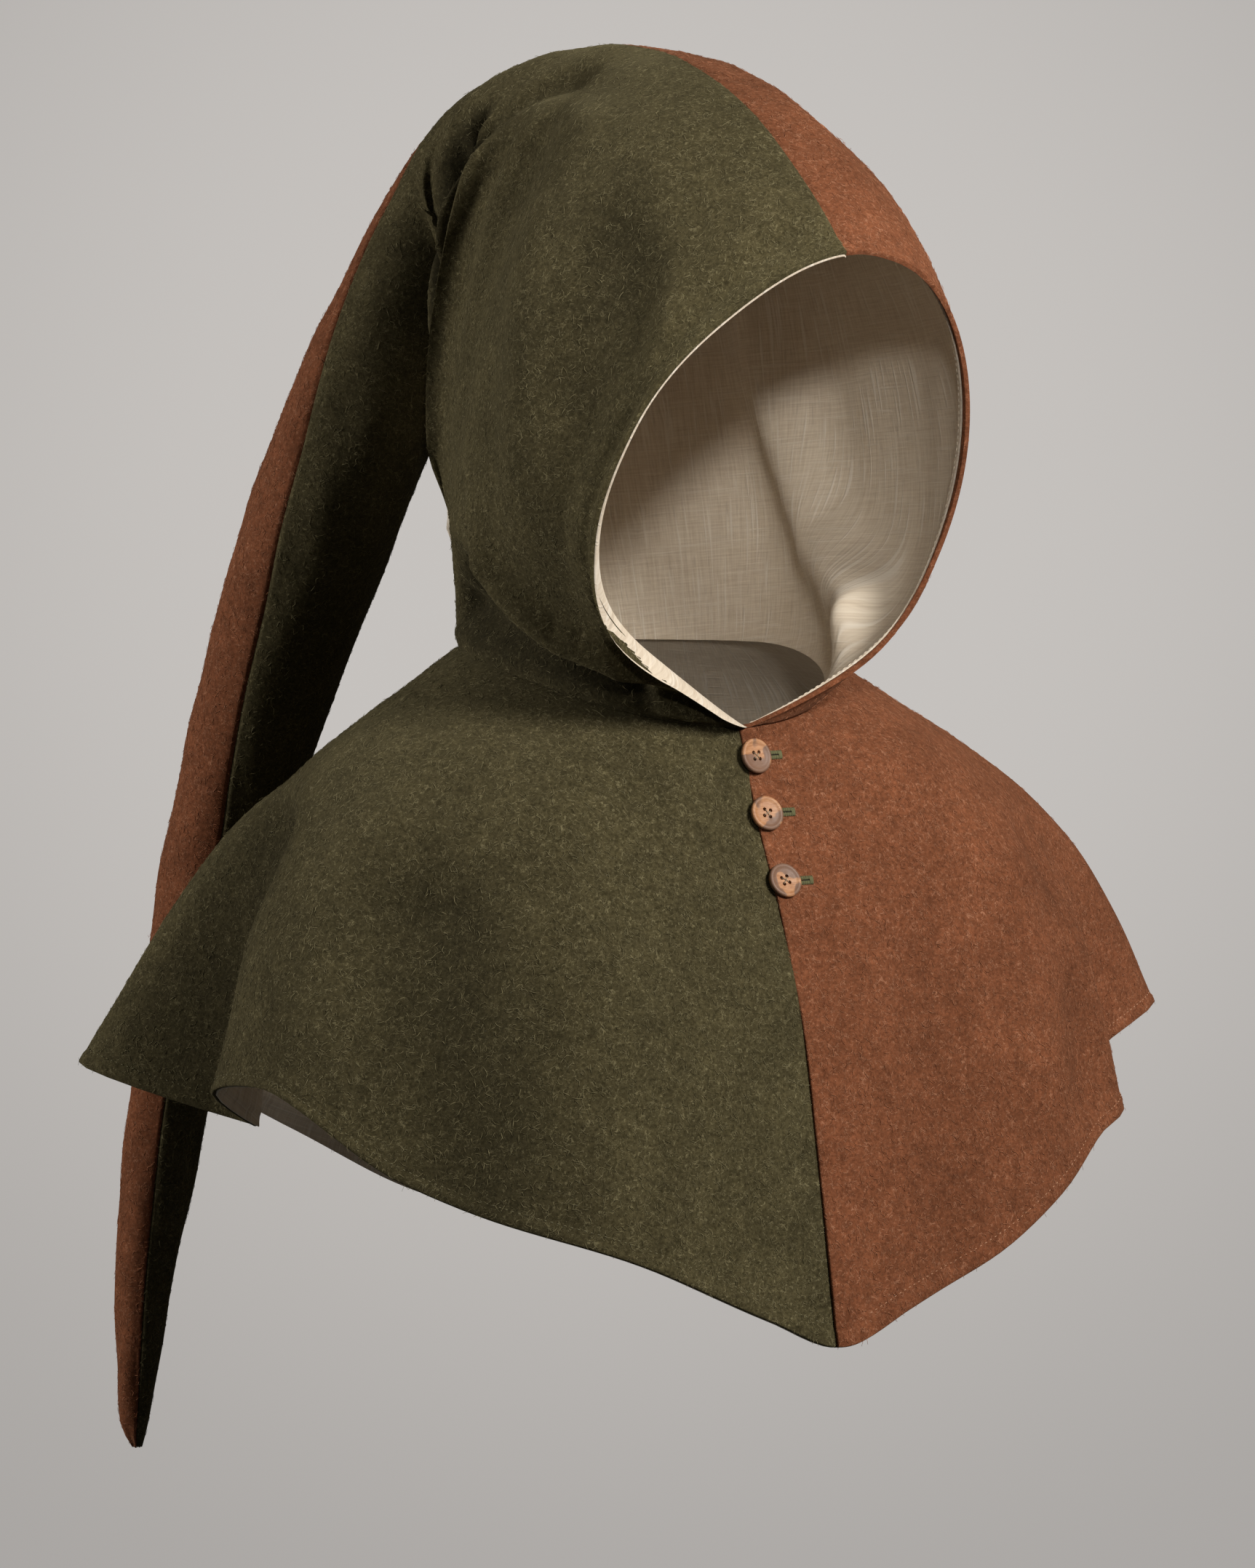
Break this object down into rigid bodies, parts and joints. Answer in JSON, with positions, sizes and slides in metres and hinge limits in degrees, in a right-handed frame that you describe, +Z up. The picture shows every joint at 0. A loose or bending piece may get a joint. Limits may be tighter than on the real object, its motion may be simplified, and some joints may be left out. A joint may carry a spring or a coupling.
{
  "type": "medieval hood",
  "caption": "Two-colour wool hood with a shoulder cape, a long hanging tail, a linen lining and wooden buttons, in its worn shape.",
  "frame": {"origin": "middle of the wearer's neck at the height of the front of the neckline", "axes": "+Z up, the wearer faces -Y, +X is the wearer's left"},
  "size_m": [0.5905, 0.5045, 0.83],
  "materials": {
    "green_wool": "fuzzy melton wool",
    "rust_wool": "fuzzy melton wool",
    "linen": "plain natural linen",
    "button_wood": "turned and oiled",
    "green_thread": "twisted sewing thread"
  },
  "bodies": {
    "root": {"hood_right": "green_wool", "hood_left": "rust_wool", "cape_right": "green_wool", "cape_left": "rust_wool", "hood_lining_right": "linen", "hood_lining_left": "linen", "cape_lining_right": "linen", "cape_lining_left": "linen", "button_1": "button_wood", "button_2": "button_wood", "button_3": "button_wood", "buttonhole_1": "green_thread", "buttonhole_2": "green_thread", "buttonhole_3": "green_thread"}
  },
  "joints": []
}
